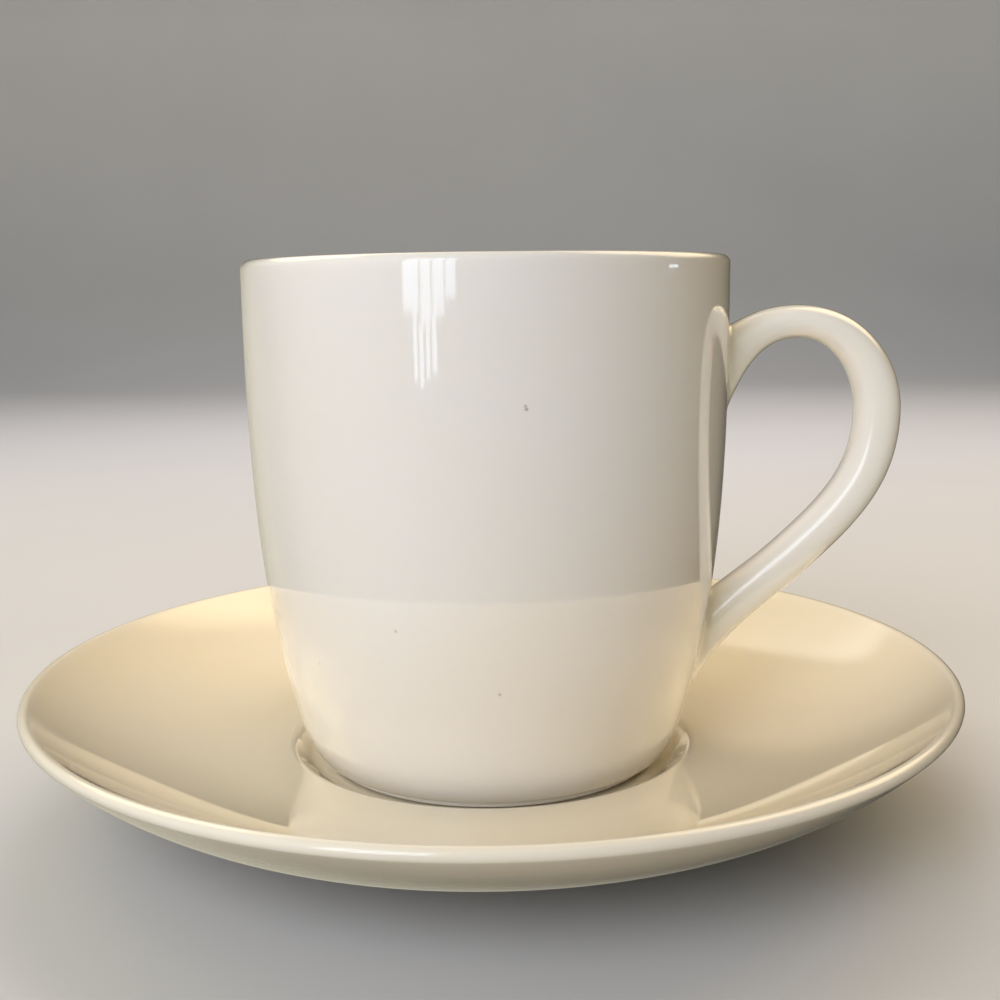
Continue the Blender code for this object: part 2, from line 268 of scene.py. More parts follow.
def arc(centre, radius, start, end, points):
    """Circular arc: the centre plus the radius times the cosine and sine of even angles in degrees."""
    angle = np.radians(np.linspace(start, end, points))
    return np.stack([centre[0] + radius * np.cos(angle), centre[1] + radius * np.sin(angle)], axis=1)


def cubic(start, start_handle, end_handle, end, points):
    """Cubic curve: the four points weighted by the Bernstein polynomials of an even parameter."""
    t = np.linspace(0.0, 1.0, points)[:, None]
    s = 1.0 - t
    weights = (s ** 3, 3 * s * s * t, 3 * s * t * t, t ** 3)
    corners = (start, start_handle, end_handle, end)
    return sum(weight * np.asarray(corner) for weight, corner in zip(weights, corners))


def line(start, end, points):
    """Straight run of even points."""
    t = np.linspace(0.0, 1.0, points)[:, None]
    return (1.0 - t) * np.asarray(start) + t * np.asarray(end)


def joined(*runs):
    """Runs of profile points in one array, points that repeat their forerunner left out."""
    profile = np.concatenate(runs)
    step = np.hypot(*np.diff(profile, axis=0).T)
    return profile[np.concatenate([[True], step > SAME_POINT])]


def foot_ring(outer, width, recess, edge, fillet):
    """Outside, flat bottom and inside of a foot ring on height 0, with round edges and an inner fillet."""
    inner = outer - width
    return joined(
        arc((outer - edge, edge), edge, 0, -90, points=9),
        line((outer - edge, 0.0), (inner + edge, 0.0), points=7),
        arc((inner + edge, edge), edge, 270, 180, points=9),
        arc((inner - fillet, recess - fillet), fillet, 0, 90, points=9),
    )


def wall_radius(cup, drop):
    """Outside of the cup wall at a drop below the rim: the rim's radius less a power of the drop."""
    depth = cup.height - cup.shoulder_height
    inset = cup.rim_radius - cup.shoulder_radius
    return cup.rim_radius - inset * (np.maximum(drop, 0.0) / depth) ** cup.taper_power


def wall_lean(cup, drop):
    """Angle of the cup wall from upright, from the slope of its power curve."""
    depth = cup.height - cup.shoulder_height
    inset = cup.rim_radius - cup.shoulder_radius
    steepest = cup.taper_power * inset / depth
    return np.arctan(steepest * (np.maximum(drop, 0.0) / depth) ** (cup.taper_power - 1))


def cup_side(cup, inward, raised):
    """Wall and rounded base from the rim down: the wall's power curve, then a cubic into the underside."""
    drop = np.linspace(cup.wall / 2, cup.height - cup.shoulder_height - raised, 64)
    wall = np.stack([wall_radius(cup, drop) - inward, cup.height - drop], axis=1)
    lean = wall_lean(cup, drop[-1])
    along = np.array([-math.sin(lean), -math.cos(lean)])
    end = np.array([cup.foot_radius - inward, cup.foot_height + raised])
    base = cubic(wall[-1], wall[-1] + cup.base_drop * along, end + (cup.base_run, 0.0), end, points=40)
    return joined(wall, base)


def cup_profile(cup):
    """The cup's half section from the middle of its floor over the rim to the middle of its underside."""
    raised = cup.foot_recess - cup.foot_height + cup.floor
    inner = cup_side(cup, cup.wall, raised)[::-1]
    outer = cup_side(cup, 0.0, 0.0)
    half = cup.wall / 2
    rim = arc((wall_radius(cup, half) - half, cup.height - half), half, 180, 0, points=28)
    corner = min(cup.foot_edge, cup.foot_height - cup.foot_edge)
    outer = outer[(outer[:, 0] > cup.foot_radius + corner) | (outer[:, 1] > cup.shoulder_height)]
    hollow = arc((cup.foot_radius + corner, cup.foot_height - corner), corner, 90, 180, points=9)
    foot = foot_ring(cup.foot_radius, cup.foot_width, cup.foot_recess, cup.foot_edge, cup.foot_edge)
    floor = line((0.0, inner[0, 1]), inner[0], points=14)
    under = line(foot[-1], (0.0, cup.foot_recess), points=14)
    profile = joined(floor, inner, rim, outer, hollow, foot, under)
    return profile + (0.0, cup.stand)


def saucer_profile(saucer):
    """The saucer's half section: well, ledge, an arc that leaves the ledge level and meets the round lip
    from inside, and an underside arc that leaves the foot level and meets the lip from below."""
    floor_height = saucer.foot_recess + saucer.floor
    ledge_height = floor_height + saucer.well_depth
    lip = np.array([saucer.radius - saucer.lip, saucer.height - saucer.lip])
    curve_start = saucer.well_radius + saucer.ledge_width
    run, rise = lip[0] - curve_start, lip[1] - ledge_height
    upper = (run ** 2 + rise ** 2 - saucer.lip ** 2) / (2 * (rise + saucer.lip))
    upper_centre = (curve_start, ledge_height + upper)
    upper_end = math.degrees(math.atan2(lip[1] - upper_centre[1], run))

    foot_radius = saucer.well_radius + saucer.foot_overhang
    under_height = ledge_height - saucer.wall
    under_start = foot_radius + saucer.foot_fillet
    under_run, under_rise = lip[0] - under_start, lip[1] - under_height
    under = (under_run ** 2 + under_rise ** 2 - saucer.lip ** 2) / (2 * (under_rise - saucer.lip))
    under_centre = (under_start, under_height + under)
    under_end = math.degrees(math.atan2(lip[1] - under_centre[1], under_run))

    fillet, edge, slope = saucer.well_fillet, saucer.well_edge, saucer.well_slope
    straight = (saucer.well_depth - (fillet + edge) * (1 - math.cos(slope))) / math.sin(slope)
    floor_radius = saucer.well_radius - (fillet + edge) * math.sin(slope) - straight * math.cos(slope)
    steep = math.degrees(slope)
    floor = line((0.0, floor_height), (floor_radius, floor_height), points=18)
    well_fillet = arc((floor_radius, floor_height + fillet), fillet, -90, steep - 90, points=12)
    well_edge = arc((saucer.well_radius, ledge_height - edge), edge, steep + 90, 90, points=12)
    ledge = line(well_edge[-1], (curve_start, ledge_height), points=8)
    dish = arc(upper_centre, upper, -90, upper_end, points=56)
    lip_round = arc(lip, saucer.lip, upper_end + 180, under_end, points=24)
    underside = arc(under_centre, under, under_end, -90, points=56)
    hollow_centre = (under_start, under_height - saucer.foot_fillet)
    hollow = arc(hollow_centre, saucer.foot_fillet, 90, 180, points=10)
    foot = foot_ring(foot_radius, saucer.foot_width, saucer.foot_recess, saucer.foot_edge, saucer.foot_edge)
    under_floor = line(foot[-1], (0.0, saucer.foot_recess), points=18)
    above = (floor, well_fillet, well_edge, ledge, dish)
    return joined(*above, lip_round, underside, hollow, foot, under_floor)


def handle_edge(cup, handle, knots):
    """One edge of the handle as radius and drop: a chain of cubics through knots with given directions,
    carried on into the wall at both ends."""
    first, last = np.array(knots[0][0]), np.array(knots[-1][0])
    runs = [line(first - (cup.wall, 0.0), first, points=20)]
    for (start, leaving), (end, arriving) in zip(knots, knots[1:]):
        start, end = np.array(start), np.array(end)
        keep = handle.fullness * np.linalg.norm(end - start)
        start_handle, end_handle = start + keep * np.array(leaving), end - keep * np.array(arriving)
        runs.append(cubic(start, start_handle, end_handle, end, points=100)[1:])
    runs.append(line(last, last - (cup.wall, 0.0), points=20)[1:])
    return np.concatenate(runs)


def handle_edges(cup, handle):
    """Outer and inner edge of the handle in its plane, each from the wall over the crest, the far side and
    the lower arm back to the wall."""
    def toward(turn):
        return math.cos(turn), math.sin(turn)

    def on_wall(drop):
        return float(wall_radius(cup, drop)), drop

    crest, side = cup.rim_radius + handle.crest_reach, cup.rim_radius + handle.reach
    along = toward(handle.arm_turn)
    arm = np.array([cup.rim_radius + handle.arm_reach, cup.height - handle.arm_height])
    across = handle.arm_thickness / 2 * np.array([along[1], -along[0]])
    outer = [
        (on_wall(handle.upper_top_drop), toward(handle.upper_outer_turn)),
        ((crest, handle.crest_drop), (1.0, 0.0)),
        ((side, handle.reach_drop), (0.0, 1.0)),
        (arm + across, along),
        (on_wall(cup.height - handle.lower_bottom_height), toward(handle.lower_outer_turn)),
    ]
    inner = [
        (on_wall(handle.upper_bottom_drop), toward(handle.upper_inner_turn)),
        ((crest, handle.crest_drop + handle.crest_thickness), (1.0, 0.0)),
        ((side - handle.side_thickness, handle.reach_drop), (0.0, 1.0)),
        (arm - across, along),
        (on_wall(cup.height - handle.lower_top_height), toward(handle.lower_inner_turn)),
    ]
    return handle_edge(cup, handle, outer), handle_edge(cup, handle, inner)


def off_wall(cup, points):
    """Distance of points from the outside of the cup wall, and the wall's outward direction there."""
    radius = np.hypot(points[..., 0], points[..., 1])
    drop = cup.height - points[..., 2]
    lean = wall_lean(cup, drop)
    outward = np.stack([
        points[..., 0] / radius * np.cos(lean),
        points[..., 1] / radius * np.cos(lean),
        -np.sin(lean),
    ], axis=-1)
    return (radius - wall_radius(cup, drop)) * np.cos(lean), outward


def grid_normals(points):
    """Unit normals of a grid whose columns close on themselves: the cross product of its differences."""
    along = np.gradient(points, axis=0)
    around = (np.roll(points, -1, axis=1) - np.roll(points, 1, axis=1)) / 2
    normal = np.cross(around, along)
    return normal / np.maximum(np.linalg.norm(normal, axis=-1, keepdims=True), 1e-12)


def handle_surface(cup, handle):
    """Grid of the handle: superellipse sections lofted between its two edges, every lengthwise line cut
    where it meets the wall, then spread along the wall by a quarter-round fillet and sunk into it at both
    ends. Returned with each point's distance from the wall."""
    outer, inner = handle_edges(cup, handle)
    along = np.linspace(-1.0, 1.0, len(outer))
    flare = np.abs(along) ** handle.flare_power
    half_width = (handle.width + flare * (handle.joint_width - handle.width)) / 2
    angle = np.linspace(0.0, 2 * math.pi, handle.sides, endpoint=False)
    power = 2 / handle.squareness
    across = np.sign(np.cos(angle)) * np.abs(np.cos(angle)) ** power
    sideways = np.sign(np.sin(angle)) * np.abs(np.sin(angle)) ** power
    middle, half = (outer + inner) / 2, (outer - inner) / 2
    flat = middle[:, None, :] + half[:, None, :] * across[None, :, None]
    wide = half_width[:, None] * sideways[None, :]
    loft = np.stack([flat[..., 0], wide, cup.height - flat[..., 1]], axis=-1)

    # Where each lengthwise line leaves the wall and where it comes back to it
    away, _ = off_wall(cup, loft)
    rows = np.arange(len(outer), dtype=float)
    columns = np.arange(handle.sides)
    leave = np.argmax(away > 0, axis=0)
    back = len(outer) - 1 - np.argmax(away[::-1] > 0, axis=0)
    start = leave - away[leave, columns] / (away[leave, columns] - away[leave - 1, columns])
    end = back + away[back, columns] / (away[back, columns] - away[back + 1, columns])

    # Rows gather toward both joints, where the fillet bends them
    even = np.linspace(0.0, 1.0, handle.rings)
    gathered = even - GATHERING * np.sin(2 * math.pi * even) / (2 * math.pi)
    row = start + (end - start) * gathered[:, None]
    low = np.clip(np.floor(row).astype(int), 0, len(rows) - 2)
    part = (row - low)[..., None]
    grid = (1 - part) * loft[low, columns] + part * loft[low + 1, columns]

    # The fillet spreads each line along the wall by a quarter round of its distance from the wall
    away, outward = off_wall(cup, grid)
    away = np.maximum(away, 0.0)
    normal = grid_normals(grid)
    centre = grid.mean(axis=1, keepdims=True)
    normal *= np.sign(np.sum(normal * (grid - centre)))
    spread = normal - np.sum(normal * outward, axis=-1, keepdims=True) * outward
    steep = np.linalg.norm(spread, axis=-1, keepdims=True)
    spread /= np.maximum(steep, 1e-6)
    radius = handle.fillet * (LEAST_FILLET + (1.0 - LEAST_FILLET) * steep[..., 0])
    near = np.clip(1.0 - away / radius, 0.0, 1.0)
    push = radius * (1.0 - np.sqrt(1.0 - near ** 2))
    moved = grid + push[..., None] * spread
    drift, outward = off_wall(cup, moved)
    moved -= np.where(near > 0, drift - away, 0.0)[..., None] * outward
    first = moved[:1] - SUNK * outward[:1]
    last = moved[-1:] - SUNK * outward[-1:]
    surface = np.concatenate([first, moved, last])
    gap = np.concatenate([away[:1], away, away[-1:]])
    return surface + (0.0, 0.0, cup.stand), gap


def closed_grid(grid):
    """Four-sided faces of a grid of point numbers whose columns close on themselves."""
    after = np.roll(grid, -1, axis=1)
    return np.stack([grid[:-1], grid[1:], after[1:], after[:-1]], axis=-1).reshape(-1, 4)


def fan(ring, pole):
    """Three-sided faces from a ring of point numbers to one point."""
    return np.stack([np.full(len(ring), pole), ring, np.roll(ring, -1)], axis=-1)


def add_piece(name, points, quads, triangles, values):
    """A smooth mesh object at the origin from whole arrays of points, faces and named point values."""
    mesh = bpy.data.meshes.new(name)
    corners = np.concatenate([quads.ravel(), triangles.ravel()]).astype(np.int32)
    sizes = np.concatenate([np.full(len(quads), 4), np.full(len(triangles), 3)])
    starts = np.concatenate([[0], np.cumsum(sizes)[:-1]]).astype(np.int32)
    mesh.vertices.add(len(points))
    mesh.vertices.foreach_set("co", points.astype(np.float32).ravel())
    mesh.loops.add(len(corners))
    mesh.loops.foreach_set("vertex_index", corners)
    mesh.polygons.add(len(sizes))
    mesh.polygons.foreach_set("loop_start", starts)
    mesh.update(calc_edges=True)
    for label, value in values.items():
        layer = mesh.attributes.new(label, "FLOAT", "POINT")
        layer.data.foreach_set("value", value.astype(np.float32).ravel())
    mesh.shade_smooth()
    if mesh.validate():
        raise RuntimeError(f"{name} has faces that had to be mended")
    obj = bpy.data.objects.new(name, mesh)
    bpy.context.scene.collection.objects.link(obj)
    return obj


def bend(profile, blur):
    """Signed bend of a profile in radians per metre, hollow positive, blurred along it by a bell curve."""
    step = np.diff(profile, axis=0)
    size = np.hypot(*step.T)
    heading = np.unwrap(np.arctan2(step[:, 1], step[:, 0]))
    turn = np.concatenate([[0.0], np.diff(heading), [0.0]])
    place = np.concatenate([[0.0], np.cumsum(size)])
    weight = np.exp(-0.5 * ((place[:, None] - place[None, :]) / blur) ** 2)
    return weight @ turn / (blur * math.sqrt(2 * math.pi))


def turned_piece(name, profile, turns, bare_height, bare_inside):
    """A closed surface of revolution: every profile point carried round the axis at even angles, with a
    point on the axis at both ends, and values that say where the glaze pools, where it runs thin and where
    the foot is bare."""
    ring = profile[1:-1]
    angle = np.linspace(0.0, 2 * math.pi, turns, endpoint=False)
    circle = np.stack([np.cos(angle), np.sin(angle)], axis=1)
    flat = ring[:, None, :1] * circle[None, :, :]
    height = np.broadcast_to(ring[:, None, 1:], flat.shape[:2] + (1,))
    points = np.concatenate([flat, height], axis=-1).reshape(-1, 3)
    poles = np.array([[0.0, 0.0, profile[0, 1]], [0.0, 0.0, profile[-1, 1]]])
    grid = np.arange(len(points)).reshape(len(ring), turns)
    top = fan(grid[0], len(points))
    bottom = fan(grid[-1], len(points) + 1)[:, ::-1]
    curve = bend(profile, GLAZE_REACH)
    pool = np.clip(curve * POOL_PER_BEND, 0.0, 1.0)
    thin = np.clip(-curve * THIN_PER_BEND, 0.0, 1.0)
    bare = np.clip((bare_height - profile[:, 1]) / BARE_FADE, 0.0, 1.0) * (profile[:, 0] > bare_inside)

    def spread(value):
        return np.concatenate([np.repeat(value[1:-1], turns), value[[0, -1]]])

    values = {"glaze_pool": spread(pool), "glaze_thin": spread(thin), "bare_clay": spread(bare)}
    points, caps = np.concatenate([points, poles]), np.concatenate([top, bottom])
    return add_piece(name, points, closed_grid(grid), caps, values)


class Wiring:
    """Adds nodes to the tree of a material, world or light one by one and links them as they come."""

    def __init__(self, owner):
        owner.use_nodes = True
        self.owner = owner
        self.tree = owner.node_tree
        outputs = "ShaderNodeOutput"
        self.shader = next(node for node in self.tree.nodes if not node.bl_idname.startswith(outputs))

    def put(self, socket, value):
        """Links a socket to another, or sets it to a plain value."""
        if isinstance(value, bpy.types.NodeSocket):
            self.tree.links.new(value, socket)
        else:
            socket.default_value = value

    def node(self, kind, out=0, settings=None, **inputs):
        """One output of a new node of a kind, with settings, and inputs by name or by number after an i."""
        node = self.tree.nodes.new(kind)
        for key, value in (settings or {}).items():
            setattr(node, key, value)
        for key, value in inputs.items():
            socket = node.inputs[int(key[1:])] if key[0] == "i" and key[1:].isdigit() else node.inputs[key]
            self.put(socket, value)
        return node.outputs[out]

    def math(self, operation, first, second):
        return self.node("ShaderNodeMath", settings={"operation": operation}, i0=first, i1=second)

    def dot(self, first, second):
        return self.node("ShaderNodeVectorMath", 1, {"operation": "DOT_PRODUCT"}, i0=first, i1=second)

    def mix(self, factor, first, second):
        settings = {"data_type": "RGBA"}
        first = first if isinstance(first, bpy.types.NodeSocket) else (*first, 1.0)
        second = second if isinstance(second, bpy.types.NodeSocket) else (*second, 1.0)
        return self.node("ShaderNodeMix", 2, settings, i0=factor, i6=first, i7=second)

    def ramp(self, value, low, high, to_low, to_high):
        """A value carried evenly from one span to another and kept inside it."""
        return self.node("ShaderNodeMapRange", i0=value, i1=low, i2=high, i3=to_low, i4=to_high)

    def smooth(self, value, low, high):
        """A value carried smoothly from 0 at the low end of a span to 1 at its high end."""
        settings = {"interpolation_type": "SMOOTHSTEP"}
        return self.node("ShaderNodeMapRange", settings=settings, i0=value, i1=low, i2=high)

    def noise(self, place, scale, detail):
        return self.node("ShaderNodeTexNoise", Vector=place, Scale=scale, Detail=detail)

    def attribute(self, name):
        return self.node("ShaderNodeAttribute", 2, {"attribute_name": name})


def china_material(name, finish, body, warm, specks):
    """Clear glossy glaze over ivory china: its colour drifts between two shades, glaze pools in corners and
    thins on edges, small iron specks sit where they are listed, the gloss varies a little and the surface
    has a faint ripple and peel."""
    wiring = Wiring(bpy.data.materials.new(name))
    place = wiring.node("ShaderNodeTexCoord", 3)
    pool, thin, bare = (wiring.attribute(key) for key in ("glaze_pool", "glaze_thin", "bare_clay"))

    drift = wiring.ramp(wiring.noise(place, finish.drift_scale, 3.0), 0.35, 0.65, 0.0, 1.0)
    shade = wiring.mix(drift, body, warm)
    shade = wiring.mix(wiring.math("MULTIPLY", pool, finish.pool_share), shade, finish.pooled)
    shade = wiring.mix(wiring.math("MULTIPLY", thin, finish.thin_share), shade, finish.thin)
    spotted = None
    for point, size, strength in specks:
        gap = wiring.node("ShaderNodeVectorMath", 1, {"operation": "DISTANCE"}, i0=place, i1=point)
        core = 0.3 * size
        spot = wiring.ramp(gap, size, core, 0.0, strength)
        spotted = spot if spotted is None else wiring.math("MAXIMUM", spotted, spot)
    if spotted is not None:
        shade = wiring.mix(spotted, shade, finish.speck)
    grain = wiring.noise(place, finish.grain_scale, 2.0)
    clay = wiring.mix(wiring.ramp(grain, 0.3, 0.7, 0.0, finish.clay_share), finish.bare, finish.pooled)
    wiring.put(wiring.shader.inputs["Base Color"], wiring.mix(bare, shade, clay))

    haze = wiring.noise(place, finish.haze_scale, 4.0)
    clearest, dullest = finish.gloss - finish.gloss_clear, finish.gloss + finish.gloss_dull
    glazed = wiring.ramp(haze, 0.25, 0.75, clearest, dullest)
    settings = {"data_type": "FLOAT"}
    rough = wiring.node("ShaderNodeMix", 0, settings, i0=bare, i2=glazed, i3=finish.bare_roughness)
    wiring.put(wiring.shader.inputs["Roughness"], rough)

    ripple = wiring.math("MULTIPLY", wiring.noise(place, finish.ripple_scale, 1.0), finish.ripple)
    peel = wiring.math("MULTIPLY", wiring.noise(place, finish.peel_scale, 1.0), finish.peel)
    tooth = wiring.math("MULTIPLY", wiring.math("MULTIPLY", grain, bare), finish.grain)
    height = wiring.math("ADD", wiring.math("ADD", ripple, peel), tooth)
    # A distance of a millimetre, so that the heights above are in millimetres
    bump = wiring.node("ShaderNodeBump", Strength=1.0, Distance=0.001, Height=height)
    wiring.put(wiring.shader.inputs["Normal"], bump)

    wiring.put(wiring.shader.inputs["Coat Weight"], wiring.ramp(bare, 0.0, 1.0, 1.0, 0.0))
    wiring.shader.inputs["Coat Roughness"].default_value = finish.coat_roughness
    wiring.shader.inputs["IOR"].default_value = finish.index
    wiring.shader.inputs["Subsurface Weight"].default_value = finish.scatter
    wiring.shader.inputs["Subsurface Radius"].default_value = (1.0, 0.8, 0.5)
    wiring.shader.inputs["Subsurface Scale"].default_value = finish.scatter_reach
    return wiring.owner


def dress(obj, body, node, material):
    """Gives a piece its material and body, and hides the solid that it stands for."""
    obj.data.materials.append(material)
    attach(obj, body)
    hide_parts(node)


class CHINA_OT_cup_body(Operator):
    """Turn the cup body from its half section."""

    bl_idname = "china.cup_body"
    bl_label = "Cup body"

    def execute(self, context):
        cup, finish = context.scene.china_cup, context.scene.china_finish
        profile = cup_profile(cup)
        inside = cup.foot_radius - cup.foot_width
        obj = turned_piece("cup_body_china", profile, cup.turns, cup.stand + cup.foot_bare, inside)
        # Turn round the cup in degrees, height, size and strength of each iron speck
        specks = [
            (-79.5, 0.0599, 0.00030, 0.50),
            (-79.3, 0.0595, 0.00034, 0.60),
            (-108.55, 0.0286, 0.00036, 0.30),
            (-85.2, 0.0196, 0.00034, 0.40),
            (-133.3, 0.0214, 0.00028, 0.20),
            (71.0, 0.0512, 0.00034, 0.40),
            (148.0, 0.0338, 0.00030, 0.30),
        ]
        spots = []
        for turn, height, size, strength in specks:
            radius = float(wall_radius(cup, cup.height - height))
            angle = math.radians(turn)
            point = (radius * math.cos(angle), radius * math.sin(angle), cup.stand + height)
            spots.append((point, size, strength))
        material = china_material("glazed_china_cup", finish, finish.body, finish.warm, spots)
        dress(obj, "cup", "cup_body", material)
        return {"FINISHED"}


class CHINA_OT_cup_handle(Operator):
    """Loft the loop handle and run it into the wall."""

    bl_idname = "china.cup_handle"
    bl_label = "Cup handle"

    def execute(self, context):
        finish = context.scene.china_finish
        surface, gap = handle_surface(context.scene.china_cup, context.scene.china_handle)
        points = surface.reshape(-1, 3)
        grid = np.arange(len(points)).reshape(surface.shape[:2])
        ends = np.stack([surface[0].mean(axis=0), surface[-1].mean(axis=0)])
        quads = closed_grid(grid)
        triangles = np.concatenate([fan(grid[0], len(points)), fan(grid[-1], len(points) + 1)[:, ::-1]])
        every = np.concatenate([points, ends])
        corner = every[np.concatenate([quads[:, :3], quads[:, [0, 2, 3]], triangles])]
        volume = np.sum(corner[:, 0] * np.cross(corner[:, 1], corner[:, 2])) / 6
        if volume < 0:
            quads, triangles = quads[:, ::-1], triangles[:, ::-1]
        pool = np.concatenate([np.exp(-gap.ravel() / GLAZE_REACH), [1.0, 1.0]])
        plain = np.zeros(len(every))
        values = {"glaze_pool": SEAM_POOL * pool, "glaze_thin": plain, "bare_clay": plain}
        obj = add_piece("cup_handle_china", every, quads, triangles, values)
        material = china_material("glazed_china_handle", finish, finish.body, finish.warm, [])
        dress(obj, "cup", "cup_handle", material)
        return {"FINISHED"}


class CHINA_OT_saucer(Operator):
    """Turn the saucer from its half section."""

    bl_idname = "china.saucer"
    bl_label = "Saucer"

    def execute(self, context):
        saucer, finish = context.scene.china_saucer, context.scene.china_finish
        inside = saucer.well_radius + saucer.foot_overhang - saucer.foot_width
        profile = saucer_profile(saucer)
        obj = turned_piece("saucer_china", profile, saucer.turns, saucer.foot_bare, inside)
        # The saucer's two colours carry painted warm light from above on top of the china's own tone.
        material = china_material("glazed_china_saucer", finish, finish.saucer_body_painted_warm, finish.saucer_drift_painted_warm, [])
        dress(obj, "saucer", "saucer", material)
        return {"FINISHED"}


def placed(studio, azimuth, distance, height):
    """A point at an azimuth from the camera's side of the cup, a distance from its axis and a height."""
    angle = math.radians(azimuth - 90.0) + studio.handle_turn
    return Vector((distance * math.cos(angle), distance * math.sin(angle), height))


def direction(studio, azimuth, elevation):
    """Unit vector at an azimuth from the camera's side and an elevation, both in degrees."""
    rise = math.radians(elevation)
    return placed(studio, azimuth, math.cos(rise), math.sin(rise))


def add_box_light(name, place, target, width, height, power, tint):
    """A rectangular soft light at a place, turned to a target, upright."""
    lamp = bpy.data.lights.new(name, "AREA")
    lamp.shape = "RECTANGLE"
    lamp.size, lamp.size_y = width, height
    lamp.energy = power
    lamp.color = tint
    obj = bpy.data.objects.new(name, lamp)
    aim = (target - place).to_track_quat("-Z", "Y").to_matrix().to_4x4()
    obj.matrix_world = Matrix.Translation(place) @ aim
    bpy.context.scene.collection.objects.link(obj)
    return obj


def soften(lamp, edge):
    """Lets an area light fade toward its sides over a share of its width, with its power as it was."""
    wiring = Wiring(lamp.data)
    place = wiring.node("ShaderNodeNewGeometry", 5)
    bright = 1.0 / (1.0 - edge) ** 2
    for axis in (0, 1):
        along = wiring.node("ShaderNodeSeparateXYZ", axis, Vector=place)
        inside = wiring.math("MINIMUM", along, wiring.math("SUBTRACT", 1.0, along))
        bright = wiring.math("MULTIPLY", wiring.smooth(inside, 0.0, edge), bright)
    wiring.put(wiring.shader.inputs["Strength"], bright)


def add_soft_boxes(studio):
    """Square soft boxes aimed at the cup: azimuth and elevation in degrees, distance, width, fading edge,
    power, colour, and whether the glaze mirrors them."""
    boxes = (
        ("key_box", -30.0, 30.0, 0.70, 0.50, 0.20, studio.key_power, studio.key, False),
        ("back_box", -155.0, 45.0, 0.80, 0.50, 0.15, studio.back_power, studio.back, True),
        ("right_box", 122.0, 45.0, 0.80, 0.85, 0.30, studio.right_power, studio.right, True),
        ("left_box", -120.0, 45.0, 0.80, 0.50, 0.20, studio.left_power, studio.left, True),
        ("crown_box", 180.0, 50.0, 0.80, 0.60, 0.20, studio.crown_power, studio.crown, False),
    )
    for name, azimuth, elevation, distance, width, edge, power, tint, mirrored in boxes:
        rise = math.radians(elevation)
        place = placed(studio, azimuth, distance * math.cos(rise), AIM.z + distance * math.sin(rise))
        box = add_box_light(name, place, AIM, width, width, power, tint)
        box.visible_glossy = mirrored
        soften(box, edge)


def add_handle_fill(studio):
    """A weak soft box from the front that falls on the handle alone and is not mirrored in it."""
    handle = Vector((0.055, 0.0, 0.055))
    place = placed(studio, azimuth=12.0, distance=0.57, height=0.24)
    width = 0.35
    fill = add_box_light("handle_fill", place, handle, width, width, studio.fill_power, studio.fill)
    lit = bpy.data.collections.new("handle_fill_lit")
    lit.objects.link(bpy.data.objects["cup_handle_china"])
    fill.light_linking.receiver_collection = lit
    fill.visible_glossy = False


def add_rim_spark(studio):
    """A short level strip on the right that sparks in the glaze just under the rim."""
    level = Vector((0.0, 0.0, 0.0955))
    place = placed(studio, azimuth=89.0, distance=0.42, height=level.z)
    add_box_light("rim_spark", place, level, width=0.043, height=0.006, power=0.004, tint=studio.window)


def add_window(studio):
    """A tall window drawn as upright strips of light at one distance: azimuth and width in degrees, lowest
    and highest point. The power is shared out by area."""
    distance = 0.42
    strips = (
        (-31.6, 6.8, 0.072, 0.365),
        (-25.2, 4.4, 0.066, 0.365),
        (-19.8, 4.8, 0.070, 0.365),
        (-14.6, 4.2, 0.078, 0.365),
        (-30.0, 1.6, 0.035, 0.072),
        (-27.4, 1.7, 0.031, 0.066),
        (-24.6, 1.6, 0.036, 0.066),
        (-21.8, 1.9, 0.039, 0.070),
    )
    whole = sum(math.radians(width) * distance * (top - bottom) for _, width, bottom, top in strips)
    for strip, (azimuth, turn, bottom, top) in enumerate(strips):
        level = Vector((0.0, 0.0, (bottom + top) / 2))
        place = placed(studio, azimuth, distance, level.z)
        width, height = math.radians(turn) * distance, top - bottom
        power = studio.window_power * width * height / whole
        add_box_light(f"window_strip_{strip}", place, level, width, height, power, studio.window)


def add_surroundings(studio):
    """Even light, a broad lobe above the horizon that grows smoothly with the cosine to the left front, and
    a glow below the horizon behind on the left, which shows in the glaze along the cup's left edge."""
    wiring = Wiring(bpy.data.worlds.new("studio"))
    way = wiring.node("ShaderNodeTexCoord", 0)
    above = wiring.smooth(wiring.node("ShaderNodeSeparateXYZ", 2, Vector=way), low=-0.02, high=0.12)
    below = wiring.math("SUBTRACT", 1.0, above)
    front = direction(studio, azimuth=-72.0, elevation=24.0)
    lobe = wiring.smooth(wiring.dot(way, front), low=-0.15, high=1.0)
    lobe = wiring.math("MULTIPLY", wiring.math("MULTIPLY", lobe, above), studio.side_strength)
    behind = direction(studio, azimuth=-158.0, elevation=-12.0)
    rim = wiring.smooth(wiring.dot(way, behind), low=0.70, high=1.0)
    rim = wiring.math("MULTIPLY", wiring.math("MULTIPLY", rim, below), studio.rim_strength)
    glow = wiring.math("ADD", wiring.math("ADD", lobe, studio.ambient), rim)
    wiring.shader.inputs["Color"].default_value = (*studio.side, 1.0)
    wiring.put(wiring.shader.inputs["Strength"], glow)
    bpy.context.scene.world = wiring.owner


